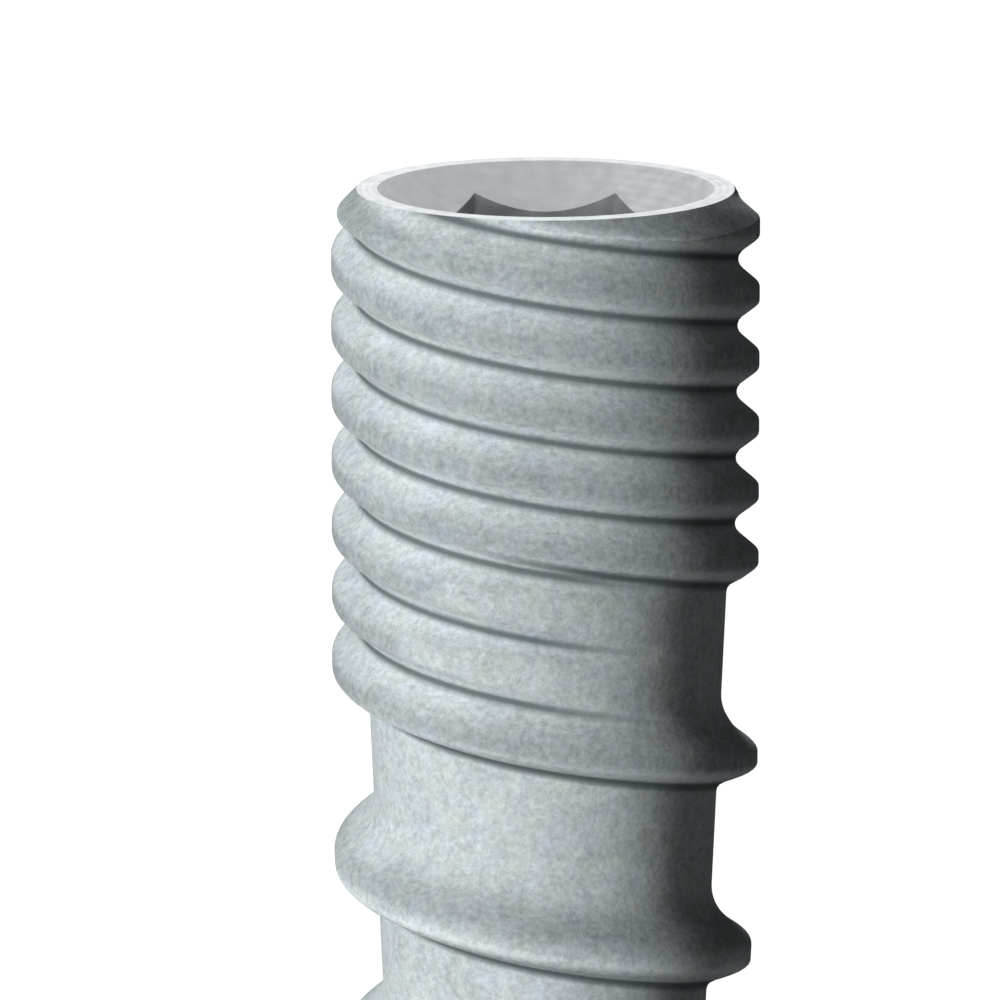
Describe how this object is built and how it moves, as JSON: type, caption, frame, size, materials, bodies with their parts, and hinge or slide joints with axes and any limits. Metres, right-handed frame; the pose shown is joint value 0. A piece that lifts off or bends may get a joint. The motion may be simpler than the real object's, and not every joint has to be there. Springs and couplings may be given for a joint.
{
  "type": "dental implant",
  "caption": "Screw-shaped root-form fixture with a fine threaded neck, a coarse tapered body thread, an internal hexagon socket and a screw bore.",
  "frame": {"origin": "centre of the apex's flat end face, on the implant's axis", "axes": "+Z along the axis from the apex to the platform; +X through two opposite corners of the hexagon; -Y faces the picture's viewer"},
  "size_m": [0.0042, 0.0042, 0.0115],
  "materials": {
    "blasted_titanium": "titanium, grit-blasted and acid-etched, matt grey; platform and socket fine-turned"
  },
  "bodies": {
    "root": {"implant_body": "blasted_titanium"}
  },
  "joints": []
}
